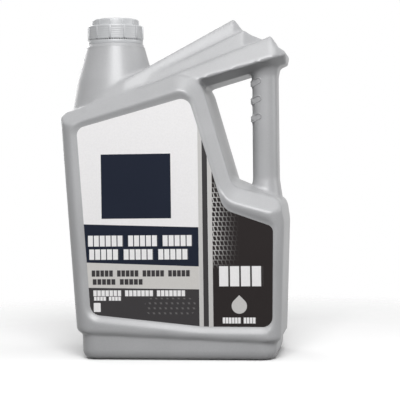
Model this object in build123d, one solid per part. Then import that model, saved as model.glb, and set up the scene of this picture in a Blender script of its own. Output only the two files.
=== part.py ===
from build123d import *

import os
from math import atan2, degrees, hypot, radians, sin, tan

# Five-quart motor oil jug in millimetres: X towards the handle, the front at -Y, Z up

# Body
WALL = 1.2
BODY_DEPTH = 112.0
FOOT_LEFT = -91.0
FOOT_RIGHT = 97.6
LEFT_DRAFT = 3.6
RIGHT_DRAFT = 2.2
CORNER_RADIUS = 15.0
BLOCK_TOP = 300.0
SIDE_MARGIN = 0.5
OVERLAP = 15.0

# Foot under the slanted step
STEP_HEIGHT = 20.5
STEP_SLANT = 2.6
STEP_INSET = 3.4
STEP_ROUND = 5.0
STEP_FLARE = 12.0
FOOT_ROUND = 7.0
PUSH_UP_DEPTH = 3.0
PUSH_UP_MARGIN = 16.0
PUSH_UP_DRAFT = 45.0

# Boot-shaped outline of the body, seen from the front
SHOULDER_Z = 229.0
ARCH_X = 24.0
ARCH_Z = 268.5
WAIST_X = 55.0
WAIST_Z = 160.0
LOBE_X = 99.0
LOBE_Z = 148.0
LOBE_SIDE_Z = 124.0
CROTCH_RISE = 9.0
CROTCH_SINK = 0.3
SHOULDER_ROUND = 11.0
ARCH_ROUND = 24.0
WAIST_ROUND = 13.0
LOBE_ROUND = 10.0
SIDE_ROUND = 20.0
RIM_BEVEL = 14.0
RIM_ANGLE = 45.0

# Label and its recess
LABEL_TOP_LEFT = (-88.0, 214.5)
LABEL_TOP_RIGHT = (16.5, 242.0)
LABEL_WAIST = (48.0, 138.5)
LABEL_LOBE = (93.0, 122.5)
LABEL_LOW_RIGHT = (91.3, 31.2)
LABEL_LOW_MIDDLE = (27.0, 31.6)
LABEL_LOW_LEFT = (-77.0, 42.5)
LABEL_ROUNDS = [8.0, 10.0, 16.0, 7.0, 9.0, 120.0, 10.0]
LABEL_THICKNESS = 0.25
LABEL_CLEARANCE = 0.8
RECESS_DEPTH = 3.0
RECESS_BEVEL = 6.3
RECESS_OVERCUT = 1.0

# Neck and mouth
NECK_X = -60.7
CONE_SINK = 3.0
CONE_HEIGHT = 67.0
CONE_MIDDLE_SHARE = 0.54
CONE_FOOT_RADIUS = 44.3
CONE_MIDDLE_RADIUS = 36.6
CONE_TOP_RADIUS = 28.0
BEAD_RADIUS = 27.0
BEAD_HEIGHT = 3.0
NECK_RADIUS = 21.4
NECK_BORE = 18.4
NECK_HEIGHT = 17.0

# Pleated arm: rises are up from its lower edge, a lean is a side's outward run for each unit of drop
FAN_X = -82.0
FAN_HALF = 48.0
FAN_RISE = 2.0
FAN_STEP = 2.0
PLEAT_LAP = 2.0
PLEAT_ROOT = 1.5
CONE_PASS_X = -45.0
CONE_PASS_HALF = 37.0
CONE_PASS_RISE = 21.3
ARM_SLOPE = 15.3
TIP_X = 104.3
TIP_RISE = 3.2
TIP_HALF = 27.7
FRONT_TAIL = 7.8
FRONT_TAIL_RISE = 10.3
FRONT_TAIL_HALF = 30.8
FRONT_STEP = 5.5
FRONT_RISE = 21.8
FRONT_HALF = 28.0
FRONT_LEAN = 0.41
MIDDLE_TAIL = 21.0
MIDDLE_TAIL_RISE = 31.0
MIDDLE_STEP = 5.5
MIDDLE_RISE = 36.5
MIDDLE_HALF = 15.5
MIDDLE_LEAN = 0.48
RIDGE_STEP = 10.5
RIDGE_RISE = 51.4
RIDGE_HALF = 3.0
RIDGE_LEAN = 0.4
ARM_KEEL_INSET = 17.0
ARM_KEEL_DROP = 7.0

# Grip
GRIP_LEFT = 71.5
GRIP_WIDTH = 23.5
GRIP_DEPTH = 46.0
GRIP_ROUND = 10.5
GRIP_FOOT_Z = 166.0
GRIP_FOOT_HEIGHT = 46.0
GRIP_FOOT_FLARE = 6.5
GRIP_HEAD_Z = 262.0
GRIP_HEAD_HEIGHT = 16.0
GRIP_HEAD_FLARE = 3.5
FINGER_RIB_COUNT = 3
FINGER_RIB_FIRST_Z = 223.0
FINGER_RIB_PITCH = 16.5
FINGER_RIB_LENGTH = 11.0
FINGER_RIB_HEIGHT = 5.0
FINGER_RIB_PROUD = 1.5
FINGER_RIB_TILT = 25.0

# Cap, tamper band and liner
CAP_RADIUS = 26.3
CAP_RIB_PROUD = 0.9
CAP_RIB_WIDTH = 1.8
CAP_RIB_COUNT = 12
CAP_SHOULDER_HEIGHT = 2.4
CAP_EDGE = 1.0
CAP_CROWN_HEIGHT = 6.4
CAP_CROWN_RADIUS = 22.6
CAP_CROWN_EDGE = 1.6
CAP_TOP_THICKNESS = 2.0
CAP_BORE = 23.2
CAP_CROWN_BORE = 19.6
LINER_THICKNESS = 1.2
LINER_CLEARANCE = 0.4
BAND_HEIGHT = 3.4
BAND_CLEARANCE = 0.9
BRIDGE_HEIGHT = 0.9
BRIDGE_WIDTH = 1.6
BRIDGE_COUNT = 12

HALF_DEPTH = BODY_DEPTH / 2
CONE_FOOT_Z = SHOULDER_Z - CONE_SINK
CONE_TOP_Z = CONE_FOOT_Z + CONE_HEIGHT
MOUTH_Z = CONE_TOP_Z + NECK_HEIGHT
SKIRT_Z = CONE_TOP_Z + BEAD_HEIGHT + BAND_HEIGHT + BRIDGE_HEIGHT
CAP_STEP_Z = MOUTH_Z + LINER_THICKNESS + CAP_SHOULDER_HEIGHT
CAP_TOP_Z = CAP_STEP_Z + CAP_CROWN_HEIGHT
FRONT_TAIL_X = TIP_X - FRONT_TAIL
FRONT_END_X = FRONT_TAIL_X - FRONT_STEP
MIDDLE_TAIL_X = FRONT_END_X - MIDDLE_TAIL
MIDDLE_END_X = MIDDLE_TAIL_X - MIDDLE_STEP
RIDGE_END_X = MIDDLE_END_X - RIDGE_STEP
BEVEL_START = HALF_DEPTH - RIM_BEVEL
LABEL_OUTLINE = [
    LABEL_TOP_LEFT,
    LABEL_TOP_RIGHT,
    LABEL_WAIST,
    LABEL_LOBE,
    LABEL_LOW_RIGHT,
    LABEL_LOW_MIDDLE,
    LABEL_LOW_LEFT,
]


def left_wall(z):
    """X of the drafted left side at a height."""
    return FOOT_LEFT - z * tan(radians(LEFT_DRAFT))


def right_wall(z):
    """X of the drafted right side at a height."""
    return FOOT_RIGHT + z * tan(radians(RIGHT_DRAFT))


def rounded_outline(points, rounds):
    """Closed outline with its own radius at each corner."""
    return make_face(FilletPolyline(*points, radius=rounds, close=True))


def drawn_in(face, inset):
    """Outline drawn in by an inset, with its corners kept."""
    if inset > 0:
        face = make_face(offset(face, amount=-inset, kind=Kind.INTERSECTION).edges())
    return face


def tapered(face, height, run):
    """Prism that stands on an outline and draws in by a run over its height."""
    return extrude(face, amount=height, taper=degrees(atan2(run, height)))


def front_view(solid, depth):
    """Turn a piece drawn flat so that it rises towards the front from a depth before the middle."""
    return Plane.XZ.offset(depth).location * solid


def both_sides(solid):
    """A piece with its mirror image on the other side of the middle."""
    return solid + mirror(solid, about=Plane.XZ)


def eased_foot(width, depth, corner, radius):
    """Two tapered bands that draw a rounded rectangle in downwards, as a round does."""
    high = radius * sin(radians(45))
    low = radius - high
    upper = tapered(RectangleRounded(width, depth, corner), high, low)
    lower = tapered(RectangleRounded(width - 2 * low, depth - 2 * low, corner - low), low, high)
    return Rot(180, 0, 0) * (upper + Pos(0, 0, high) * lower)


def body_block(inset):
    """Upright block with drafted sides and rounded corners."""
    points = [
        (left_wall(0) + inset, 0),
        (right_wall(0) - inset, 0),
        (right_wall(BLOCK_TOP) - inset, BLOCK_TOP),
        (left_wall(BLOCK_TOP) + inset, BLOCK_TOP),
    ]
    face = make_face(Polyline(*points, close=True))
    solid = extrude(Plane.XZ * face, amount=HALF_DEPTH - inset, both=True)
    uprights = [edge for edge in solid.edges() if edge.bounding_box().size.Z > BLOCK_TOP / 2]
    return fillet(uprights, CORNER_RADIUS - inset)


def boot_outline():
    """Boot-shaped front outline of the body."""
    points = [
        (left_wall(0) - SIDE_MARGIN, -FOOT_ROUND),
        (right_wall(0) + SIDE_MARGIN, -FOOT_ROUND),
        (right_wall(LOBE_SIDE_Z) + SIDE_MARGIN, LOBE_SIDE_Z),
        (LOBE_X, LOBE_Z),
        (WAIST_X, WAIST_Z),
        (ARCH_X, ARCH_Z),
        (left_wall(SHOULDER_Z) - SIDE_MARGIN, SHOULDER_Z),
    ]
    rounds = [0, 0, SIDE_ROUND, LOBE_ROUND, WAIST_ROUND, ARCH_ROUND, SHOULDER_ROUND]
    return rounded_outline(points, rounds)


def rim_outline():
    """Upper edge of the boot, run on past both sides."""
    reach = 2 * BODY_DEPTH
    top_slope = (ARCH_Z - SHOULDER_Z) / (ARCH_X - left_wall(SHOULDER_Z))
    lobe_slope = (LOBE_Z - WAIST_Z) / (LOBE_X - WAIST_X)
    points = [
        (-reach, -reach),
        (reach, -reach),
        (reach, WAIST_Z + (reach - WAIST_X) * lobe_slope),
        (WAIST_X, WAIST_Z),
        (ARCH_X, ARCH_Z),
        (-reach, ARCH_Z - (reach + ARCH_X) * top_slope),
    ]
    return rounded_outline(points, [0, 0, 0, WAIST_ROUND, ARCH_ROUND, 0])


def rim_bevel(inset):
    """Everything under the bevel that runs along the boot's upper edges, front and back."""
    rim = drawn_in(rim_outline(), inset)
    start = BEVEL_START - inset * tan(radians(RIM_ANGLE / 2))
    straight = extrude(rim, amount=start)
    sloped = tapered(rim, RIM_BEVEL, RIM_BEVEL * tan(radians(RIM_ANGLE)))
    return both_sides(front_view(straight, 0) + front_view(sloped, start))


def crotch(inset):
    """Saddle of the lobe under the handle hole, highest at the waist and gone before the lobe's round."""
    half = BEVEL_START - inset
    rise = CROTCH_RISE * half / BEVEL_START
    along = Vector(LOBE_X - WAIST_X, 0, LOBE_Z - WAIST_Z)
    length = along.length - LOBE_ROUND + CROTCH_RISE - inset
    along = along.normalized()
    inward = Vector(along.Z, 0, -along.X)
    start = Vector(WAIST_X, 0, WAIST_Z) - along * CROTCH_RISE + inward * (inset + CROTCH_SINK)
    across = make_face(Polyline((-half, 0), (half, 0), (0, rise), close=True))
    roof = extrude(Plane.YZ * across, amount=length, dir=along)
    side = make_face(Polyline((0, 0), (length * along.X, length * along.Z), (0, rise), close=True))
    return Pos(start) * (roof & extrude(Plane.XZ * side, amount=half, both=True))


def trunk(inset):
    """Boot-shaped body over the slanted step, with an eased lower edge."""
    prism = extrude(Plane.XZ * drawn_in(boot_outline(), inset), amount=HALF_DEPTH - inset, both=True)
    left = left_wall(STEP_HEIGHT + STEP_ROUND) + inset
    right = right_wall(STEP_HEIGHT + STEP_ROUND) - inset
    width = right - left + 2 * SIDE_MARGIN
    depth = BODY_DEPTH - 2 * inset + 2 * SIDE_MARGIN
    corner = CORNER_RADIUS - inset + SIDE_MARGIN
    edge = eased_foot(width, depth, corner, STEP_ROUND)
    flare = BLOCK_TOP * tan(radians(STEP_FLARE))
    upper = RectangleRounded(width + 2 * flare, depth + 2 * flare, corner + flare)
    rest = Rot(180, 0, 0) * tapered(upper, BLOCK_TOP, flare)
    envelope = edge + Pos(0, 0, BLOCK_TOP) * rest
    middle = (left + right) / 2
    height = STEP_HEIGHT - middle * tan(radians(STEP_SLANT)) + STEP_ROUND + inset
    envelope = Pos(middle, 0, height) * Rot(0, STEP_SLANT, 0) * envelope
    return prism & rim_bevel(inset) & body_block(inset) & envelope


def foot(inset):
    """Drawn-in foot below the step, with an eased lower edge."""
    left = left_wall(FOOT_ROUND) + STEP_INSET + inset
    right = right_wall(FOOT_ROUND) - STEP_INSET - inset
    depth = BODY_DEPTH - 2 * STEP_INSET - 2 * inset
    corner = CORNER_RADIUS - inset
    edge = eased_foot(right - left, depth, corner, FOOT_ROUND - inset)
    upper = extrude(RectangleRounded(right - left, depth, corner), amount=STEP_HEIGHT)
    return Pos((left + right) / 2, 0, FOOT_ROUND) * (edge + upper)


def cone(inset):
    """Neck cone that spreads into the shoulder, a little rounded on its way up."""
    points = [
        (0, CONE_FOOT_Z - OVERLAP),
        (CONE_FOOT_RADIUS - inset, CONE_FOOT_Z - OVERLAP),
        (CONE_FOOT_RADIUS - inset, CONE_FOOT_Z),
        (CONE_MIDDLE_RADIUS - inset, CONE_FOOT_Z + CONE_HEIGHT * CONE_MIDDLE_SHARE),
        (CONE_TOP_RADIUS - inset, CONE_TOP_Z - inset),
        (0, CONE_TOP_Z - inset),
    ]
    profile = make_face(Polyline(*points, close=True))
    return Pos(NECK_X, 0) * revolve(Plane.XZ * profile, Axis.Z)


def lower_edge(x):
    """Height of the arm's lower front edge, which rises towards the tip."""
    return SHOULDER_Z + (x - FAN_X) * tan(radians(ARM_SLOPE))


def flat_sided(sections):
    """Solid with flat faces between matching polygon sections."""
    faces = [Face(Wire.make_polygon(sections[0])), Face(Wire.make_polygon(sections[-1]))]
    for near, far in zip(sections, sections[1:]):
        for index in range(len(near)):
            corners = [near[index - 1], near[index], far[index], far[index - 1]]
            faces.append(Face(Wire.make_polygon(corners)))
    return Part() + Solid(Shell(faces))


def pleat_section(x, half, rise, lean, keel, inset):
    """Corners of a pleat's section: its crest, its leaning sides, and its root or the arm's keel."""
    x = x - inset if x > 0 else x
    base = lower_edge(x)
    crest = half + inset * (lean - hypot(1, lean))
    top = base + rise - inset
    if keel:
        edge = crest + lean * (rise - inset)
        low = base - ARM_KEEL_DROP + inset
        side = [(crest, top), (edge, base), (edge - ARM_KEEL_INSET, low)]
    else:
        side = [(crest, top), (crest + lean * (rise - inset - PLEAT_ROOT), base + PLEAT_ROOT)]
    right = [(x, y, z) for y, z in side]
    left = [(x, -y, z) for y, z in reversed(side)]
    return right + left


def pleat(stations, lean, keel, inset):
    """One wedge of the fan: stations are X, half width of the crest and its rise."""
    return flat_sided([pleat_section(x, half, rise, lean, keel, inset) for x, half, rise in stations])


def arm(inset):
    """Three nested pleats that fan out from the left shoulder to the handle."""
    ridge = [
        (FAN_X, FAN_HALF - 2 * FAN_STEP, FAN_RISE + 2 * FAN_STEP),
        (CONE_PASS_X, CONE_PASS_HALF, CONE_PASS_RISE),
        (RIDGE_END_X, RIDGE_HALF, RIDGE_RISE),
        (MIDDLE_END_X, RIDGE_HALF, MIDDLE_RISE - PLEAT_LAP),
    ]
    middle = [
        (FAN_X, FAN_HALF - FAN_STEP, FAN_RISE + FAN_STEP),
        (MIDDLE_END_X, MIDDLE_HALF, MIDDLE_RISE),
        (MIDDLE_TAIL_X, MIDDLE_HALF - PLEAT_LAP, MIDDLE_TAIL_RISE),
        (FRONT_END_X - 2 * PLEAT_LAP, RIDGE_HALF, FRONT_RISE - PLEAT_LAP),
    ]
    front = [
        (FAN_X, FAN_HALF, FAN_RISE),
        (FRONT_END_X, FRONT_HALF, FRONT_RISE),
        (FRONT_TAIL_X, FRONT_TAIL_HALF, FRONT_TAIL_RISE),
        (TIP_X, TIP_HALF, TIP_RISE),
    ]
    solid = pleat(front, FRONT_LEAN, True, inset)
    solid += pleat(middle, MIDDLE_LEAN, False, inset)
    solid += pleat(ridge, RIDGE_LEAN, False, inset)
    return solid


def grip(inset):
    """Hollow grip that flares into the lobe and the arm."""
    width = GRIP_WIDTH - 2 * inset
    depth = GRIP_DEPTH - 2 * inset
    corner = GRIP_ROUND - inset
    foot_flare = 2 * GRIP_FOOT_FLARE
    head_flare = 2 * GRIP_HEAD_FLARE
    foot_face = RectangleRounded(width + foot_flare, depth + foot_flare, corner + GRIP_FOOT_FLARE)
    head_face = RectangleRounded(width + head_flare, depth + head_flare, corner + GRIP_HEAD_FLARE)
    head = Rot(180, 0, 0) * tapered(head_face, GRIP_HEAD_HEIGHT, GRIP_HEAD_FLARE)
    stem = extrude(RectangleRounded(width, depth, corner), amount=GRIP_HEAD_Z - GRIP_FOOT_Z)
    foot_cone = tapered(foot_face, GRIP_FOOT_HEIGHT, GRIP_FOOT_FLARE)
    solid = Pos(0, 0, GRIP_FOOT_Z - GRIP_FOOT_HEIGHT) * foot_cone
    solid += Pos(0, 0, GRIP_FOOT_Z) * stem
    solid += Pos(0, 0, GRIP_HEAD_Z + GRIP_HEAD_HEIGHT) * head
    return Pos(GRIP_LEFT + GRIP_WIDTH / 2, 0) * solid


def finger_ribs():
    """Tilted ribs across the inside of the grip."""
    slot = Rot(0, 0, FINGER_RIB_TILT) * SlotOverall(FINGER_RIB_LENGTH, FINGER_RIB_HEIGHT)
    x = GRIP_LEFT - FINGER_RIB_PROUD + FINGER_RIB_LENGTH / 2
    half = GRIP_DEPTH / 2 - GRIP_ROUND / 4
    ribs = Part()
    for index in range(FINGER_RIB_COUNT):
        z = FINGER_RIB_FIRST_Z + index * FINGER_RIB_PITCH
        ribs += extrude(Plane.XZ * Pos(x, z) * slot, amount=half, both=True)
    return ribs


def jug_form(inset):
    """Outer form of the jug, or its cavity when drawn in by the wall."""
    return trunk(inset) + crotch(inset) + foot(inset) + cone(inset) + arm(inset) + grip(inset)


def recesses(wall):
    """Bevelled label recesses on the front and the back, grown by a wall."""
    outline = rounded_outline(LABEL_OUTLINE, LABEL_ROUNDS)
    height = RECESS_DEPTH + RECESS_OVERCUT
    run = (RECESS_BEVEL - LABEL_CLEARANCE) * height / RECESS_DEPTH
    brim = make_face(offset(outline, amount=LABEL_CLEARANCE + wall + run).edges())
    return both_sides(front_view(tapered(brim, height, run), wall - HALF_DEPTH - RECESS_OVERCUT))


def neck():
    """Straight neck with the bead that carries the tamper band."""
    bead = extrude(Circle(BEAD_RADIUS), amount=BEAD_HEIGHT)
    finish = extrude(Circle(NECK_RADIUS), amount=NECK_HEIGHT)
    return Pos(NECK_X, 0, CONE_TOP_Z) * (bead + finish)


def neck_bore():
    """Bore from the mouth down into the cone."""
    depth = NECK_HEIGHT + 3 * WALL
    return Pos(NECK_X, 0, MOUTH_Z) * extrude(Circle(NECK_BORE), amount=-depth)


def push_up(wall):
    """Shallow hollow under the foot, grown by a wall."""
    left = FOOT_LEFT + STEP_INSET + PUSH_UP_MARGIN - wall
    right = FOOT_RIGHT - STEP_INSET - PUSH_UP_MARGIN + wall
    depth = BODY_DEPTH - 2 * STEP_INSET - 2 * PUSH_UP_MARGIN + 2 * wall
    face = Pos((left + right) / 2, 0) * RectangleRounded(right - left, depth, CORNER_RADIUS + wall)
    return extrude(face, amount=PUSH_UP_DEPTH + wall, taper=PUSH_UP_DRAFT)


def bottle():
    """Whole jug: outer form less recesses and push-up, hollowed through the neck."""
    outer = jug_form(0) + finger_ribs() + neck()
    outer = outer - recesses(0) - push_up(0)
    cavity = jug_form(WALL) - recesses(WALL) - push_up(WALL)
    return outer - cavity - neck_bore()


def cap_rib():
    """One upright rib of the cap: a step on the skirt and a lower one on the crown."""
    skirt_reach = CAP_RADIUS + CAP_RIB_PROUD
    crown_reach = CAP_CROWN_RADIUS + CAP_RIB_PROUD / 2
    points = [
        (CAP_BORE, SKIRT_Z),
        (skirt_reach, SKIRT_Z),
        (skirt_reach, CAP_STEP_Z - CAP_EDGE - CAP_RIB_PROUD),
        (skirt_reach - CAP_RIB_PROUD, CAP_STEP_Z - CAP_EDGE),
        (crown_reach, CAP_STEP_Z - CAP_EDGE),
        (crown_reach, CAP_TOP_Z - CAP_CROWN_EDGE),
        (CAP_CROWN_BORE, CAP_TOP_Z - CAP_CROWN_EDGE),
        (CAP_CROWN_BORE, MOUTH_Z + LINER_THICKNESS),
        (CAP_BORE, MOUTH_Z + LINER_THICKNESS),
    ]
    face = make_face(Polyline(*points, close=True))
    return extrude(Plane.XZ * face, amount=CAP_RIB_WIDTH / 2, both=True)


def cap():
    """Ribbed screw cap in two tiers, hollow under the crown."""
    seat = MOUTH_Z + LINER_THICKNESS
    points = [
        (0, SKIRT_Z),
        (CAP_RADIUS, SKIRT_Z),
        (CAP_RADIUS, CAP_STEP_Z - CAP_EDGE),
        (CAP_RADIUS - CAP_EDGE, CAP_STEP_Z),
        (CAP_CROWN_RADIUS, CAP_STEP_Z),
        (CAP_CROWN_RADIUS, CAP_TOP_Z - CAP_CROWN_EDGE),
        (CAP_CROWN_RADIUS - CAP_CROWN_EDGE, CAP_TOP_Z),
        (0, CAP_TOP_Z),
    ]
    solid = revolve(Plane.XZ * make_face(Polyline(*points, close=True)), Axis.Z)
    rib = cap_rib()
    for turn in PolarLocations(0, CAP_RIB_COUNT):
        solid += turn * rib
    bore = Pos(0, 0, SKIRT_Z) * extrude(Circle(CAP_BORE), amount=seat - SKIRT_Z)
    crown_depth = CAP_TOP_Z - CAP_TOP_THICKNESS - seat
    crown_bore = Pos(0, 0, seat) * extrude(Circle(CAP_CROWN_BORE), amount=crown_depth)
    return solid - bore - crown_bore


def tamper_band():
    """Ring on the bead, with the bridges that hold it to the skirt."""
    inner = NECK_RADIUS + BAND_CLEARANCE
    base = CONE_TOP_Z + BEAD_HEIGHT
    ring = extrude(Plane.XY.offset(base) * (Circle(CAP_RADIUS) - Circle(inner)), amount=BAND_HEIGHT)
    length = CAP_RADIUS - CAP_BORE - BRIDGE_WIDTH / 2
    bridge_face = Pos(CAP_BORE + length / 2, 0) * Rectangle(length, BRIDGE_WIDTH)
    bridge = extrude(Plane.XY.offset(base + BAND_HEIGHT) * bridge_face, amount=BRIDGE_HEIGHT)
    for turn in PolarLocations(0, BRIDGE_COUNT):
        ring += turn * bridge
    return ring


def cap_liner():
    """Sealing disc between the mouth and the cap."""
    face = Plane.XY.offset(MOUTH_Z) * Circle(CAP_BORE - LINER_CLEARANCE)
    return extrude(face, amount=LINER_THICKNESS)


def front_label():
    """Printed film on the floor of the front recess."""
    outline = rounded_outline(LABEL_OUTLINE, LABEL_ROUNDS)
    return extrude(Plane.XZ.offset(HALF_DEPTH - RECESS_DEPTH) * outline, amount=LABEL_THICKNESS)


def at_neck(solid):
    """Move a turned piece onto the neck axis."""
    return Pos(NECK_X, 0) * solid


def main():
    """Build every piece, centre the set on the jug's own box and write one file each."""
    os.makedirs("parts", exist_ok=True)
    jug = bottle()
    box = jug.bounding_box()
    centring = Pos(-(box.min.X + box.max.X) / 2, 0, 0)
    pieces = {
        "bottle": jug,
        "front_label": front_label(),
        "tamper_band": at_neck(tamper_band()),
        "cap_liner": at_neck(cap_liner()),
        "cap": at_neck(cap()),
    }
    for name, piece in pieces.items():
        export_step(centring * piece, f"parts/{name}.step")
    print("neck axis X", round(NECK_X + centring.position.X, 4))


if __name__ == "__main__":
    main()
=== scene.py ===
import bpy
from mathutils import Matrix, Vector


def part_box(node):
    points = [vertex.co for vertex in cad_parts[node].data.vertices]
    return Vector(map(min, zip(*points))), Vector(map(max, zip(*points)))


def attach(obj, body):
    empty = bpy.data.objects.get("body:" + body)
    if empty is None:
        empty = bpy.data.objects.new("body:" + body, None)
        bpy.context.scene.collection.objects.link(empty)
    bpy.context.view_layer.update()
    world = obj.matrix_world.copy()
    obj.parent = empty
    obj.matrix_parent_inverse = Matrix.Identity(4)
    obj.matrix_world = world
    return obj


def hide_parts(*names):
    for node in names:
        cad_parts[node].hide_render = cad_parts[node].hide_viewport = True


bl_info = {
    "name": "Motor oil jug",
    "version": (1, 0, 0),
    "blender": (4, 5, 0),
    "location": "3D View > Sidebar > Oil Jug",
    "description": "Dresses the moulded oil jug: soft shell, cap, tamper band, label and studio",
    "category": "Object",
}

import math

import bmesh
import bpy
from bpy.props import FloatProperty, FloatVectorProperty, IntProperty, PointerProperty
from mathutils import Matrix, Quaternion, Vector
from mathutils.bvhtree import BVHTree

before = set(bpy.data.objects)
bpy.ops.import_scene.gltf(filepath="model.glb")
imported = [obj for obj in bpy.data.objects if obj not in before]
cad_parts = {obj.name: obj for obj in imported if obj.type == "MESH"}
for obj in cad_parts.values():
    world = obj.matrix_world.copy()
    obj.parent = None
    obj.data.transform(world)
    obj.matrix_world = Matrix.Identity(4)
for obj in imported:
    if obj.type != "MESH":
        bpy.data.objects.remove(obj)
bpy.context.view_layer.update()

MM = 0.001

LINER_LOW, LINER_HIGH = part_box("cap_liner")
BAND_LOW, BAND_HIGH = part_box("tamper_band")
CAP_LOW, CAP_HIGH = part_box("cap")
NECK_X = (LINER_LOW[0] + LINER_HIGH[0]) / 2
MOUTH_Z = LINER_LOW[2]
LINER_TOP_Z = LINER_HIGH[2]
BEAD_TOP_Z = BAND_LOW[2]
SKIRT_Z = CAP_LOW[2]
CROWN_Z = CAP_HIGH[2]
FULL_TURN = 2 * math.pi

# Places and tolerances of the shell
NECK_REACH = 45 * MM
NECK_LAP = 0.2 * MM
RIM_LIFT = 6 * MM
MERGE_DISTANCE = 0.002 * MM
LEVEL_TOLERANCE = 0.001 * MM
THREAD_SINK = 0.3 * MM

# Finger loops on the grip
GRIP_X = 71.9 * MM
LOOP_PROUD = 1.5 * MM
LOOP_FIRST_Z = 223.0 * MM
LOOP_PITCH = 16.5 * MM
LOOP_LEAN = math.radians(25.0)
RAY_START = 0.1

# Finish of the plastics
PLASTIC_METALLIC = 0.06
CAP_GRAIN = 1800.0


class JugSizes(bpy.types.PropertyGroup):
    """Sizes of the dressed jug that a user may change."""

    shell_grain: FloatProperty(
        name="Shell grain", description="Cell size of the soft shell's mesh",
        default=1.7 * MM, min=0.5 * MM, unit="LENGTH")
    shell_softening: IntProperty(
        name="Shell softening", description="Passes that round the moulded edges", default=2, min=0)
    bead_height: FloatProperty(
        name="Bead height", description="Height of the bead under the tamper band",
        default=3.0 * MM, unit="LENGTH")
    bead_radius: FloatProperty(
        name="Bead radius", description="Outer radius of the bead", default=27.0 * MM, unit="LENGTH")
    neck_radius: FloatProperty(
        name="Neck radius", description="Outer radius of the threaded neck", default=21.4 * MM, unit="LENGTH")
    neck_bore: FloatProperty(
        name="Neck bore", description="Radius of the mouth", default=18.4 * MM, unit="LENGTH")
    thread_lead: FloatProperty(
        name="Thread lead", description="Rise of the thread in one turn", default=4.2 * MM, unit="LENGTH")
    thread_depth: FloatProperty(
        name="Thread depth", description="How far a thread stands from its wall",
        default=0.8 * MM, unit="LENGTH")
    thread_turns: FloatProperty(
        name="Thread turns", description="Length of a thread in turns", default=1.5)
    cap_radius: FloatProperty(
        name="Cap radius", description="Outer radius of the cap's skirt", default=26.3 * MM, unit="LENGTH")
    cap_bore: FloatProperty(
        name="Cap bore", description="Inner radius of the cap's skirt", default=23.2 * MM, unit="LENGTH")
    crown_radius: FloatProperty(
        name="Crown radius", description="Outer radius of the cap's upper tier",
        default=22.6 * MM, unit="LENGTH")
    crown_bore: FloatProperty(
        name="Crown bore", description="Inner radius of the cap's upper tier",
        default=19.6 * MM, unit="LENGTH")
    crown_height: FloatProperty(
        name="Crown height", description="Height of the cap's upper tier", default=6.4 * MM, unit="LENGTH")
    cap_rib_width: FloatProperty(
        name="Rib width", description="Width of an upright rib on the cap", default=1.8 * MM, unit="LENGTH")
    cap_rib_count: IntProperty(name="Ribs", description="Upright ribs round the cap", default=12, min=3)
    groove_count: IntProperty(
        name="Grooves", description="Fine grooves round the cap's skirt", default=5, min=0)
    groove_pitch: FloatProperty(
        name="Groove pitch", description="Height between two grooves", default=2.0 * MM, unit="LENGTH")
    groove_depth: FloatProperty(
        name="Groove depth", description="Depth of a groove in the skirt", default=0.12 * MM, unit="LENGTH")
    bridge_width: FloatProperty(
        name="Bridge width", description="Width of a bridge on the tamper band",
        default=0.9 * MM, unit="LENGTH")
    bridge_count: IntProperty(name="Bridges", description="Bridges round the tamper band", default=72, min=3)
    loop_count: IntProperty(
        name="Finger loops", description="Raised loops on each side of the grip", default=3, min=0)
    loop_length: FloatProperty(
        name="Loop length", description="Length of a finger loop", default=11.0 * MM, unit="LENGTH")
    loop_height: FloatProperty(
        name="Loop height", description="Height of a finger loop", default=5.0 * MM, unit="LENGTH")
    loop_bead: FloatProperty(
        name="Loop bead", description="Radius of the bead that draws a loop",
        default=0.7 * MM, unit="LENGTH")
    turn_steps: IntProperty(
        name="Turn steps", description="Divisions of a turned piece", default=144, min=24)


class JugFinish(bpy.types.PropertyGroup):
    """Colours of the dressed jug that a user may change."""

    plastic: FloatVectorProperty(
        name="Plastic", description="Silver-grey of the moulded jug", subtype="COLOR", size=4,
        default=(0.36, 0.362, 0.37, 1.0))
    cap: FloatVectorProperty(
        name="Cap", description="Silver-grey of the cap and its band", subtype="COLOR", size=4,
        default=(0.46, 0.467, 0.477, 1.0))
    liner: FloatVectorProperty(
        name="Liner", description="Off-white of the foam liner", subtype="COLOR", size=4,
        default=(0.72, 0.71, 0.68, 1.0))
    film: FloatVectorProperty(
        name="Film", description="White ground of the label", subtype="COLOR", size=4,
        default=(0.82, 0.81, 0.815, 1.0))
    navy: FloatVectorProperty(
        name="Navy", description="Dark blue fields of the label", subtype="COLOR", size=4,
        default=(0.011, 0.015, 0.028, 1.0))
    grey: FloatVectorProperty(
        name="Grey", description="Light grey band of the label", subtype="COLOR", size=4,
        default=(0.60, 0.585, 0.565, 1.0))
    charcoal: FloatVectorProperty(
        name="Charcoal", description="Dark grey foot of the label", subtype="COLOR", size=4,
        default=(0.046, 0.043, 0.045, 1.0))
    panel: FloatVectorProperty(
        name="Panel", description="Black side panel of the label", subtype="COLOR", size=4,
        default=(0.022, 0.018, 0.018, 1.0))
    silver: FloatVectorProperty(
        name="Silver", description="Silver ink of the stripes and the mesh", subtype="COLOR", size=4,
        default=(0.56, 0.55, 0.54, 1.0))


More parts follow.
